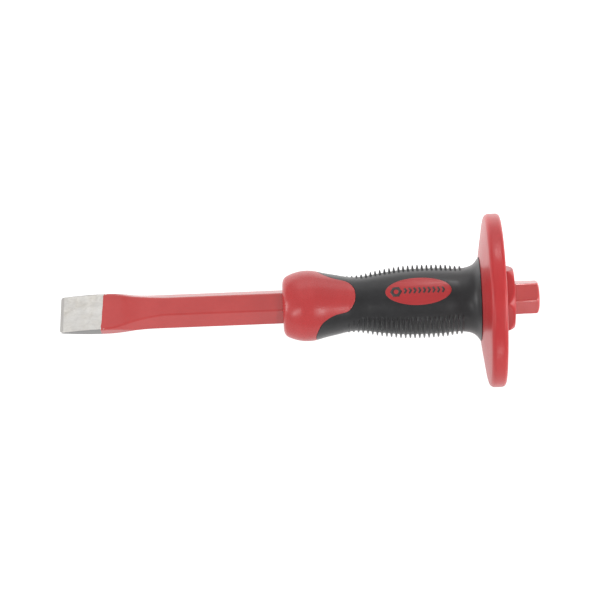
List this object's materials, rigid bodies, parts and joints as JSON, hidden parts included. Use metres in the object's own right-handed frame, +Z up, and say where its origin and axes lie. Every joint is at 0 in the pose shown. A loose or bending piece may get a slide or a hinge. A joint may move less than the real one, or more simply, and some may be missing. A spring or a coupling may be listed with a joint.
{
  "type": "guarded cold chisel",
  "caption": "Cold chisel with a flat flared cutting edge, hexagonal shank and head, a two-tone ribbed hand grip and a round hand guard near the struck end.",
  "frame": {"origin": "bottom centre of the bounding box of the tool as it rests on a bench, on its cutting edge and the rim of its guard", "axes": "+X from the cutting edge towards the struck head, in plan; the tool's own axis rises 11.248 degrees towards the head; +Y along the cutting edge; +Z up, away from the bench"},
  "size_m": [0.2456, 0.0898, 0.0891],
  "materials": {
    "red_paint": "satin paint over forged steel",
    "ground_steel": "bare ground steel, at the cutting end of the bar only",
    "red_plastic": "satin moulded plastic",
    "black_rubber": "matt moulded rubber",
    "badge_print": "dark printed marks on the badges"
  },
  "bodies": {
    "root": {"chisel_bar": "red_paint", "grip_core": "red_plastic", "grip_overmould": "black_rubber", "badge_top": "red_plastic", "badge_bottom": "red_plastic", "hand_guard": "red_plastic", "hex_collar": "red_plastic"}
  },
  "joints": []
}
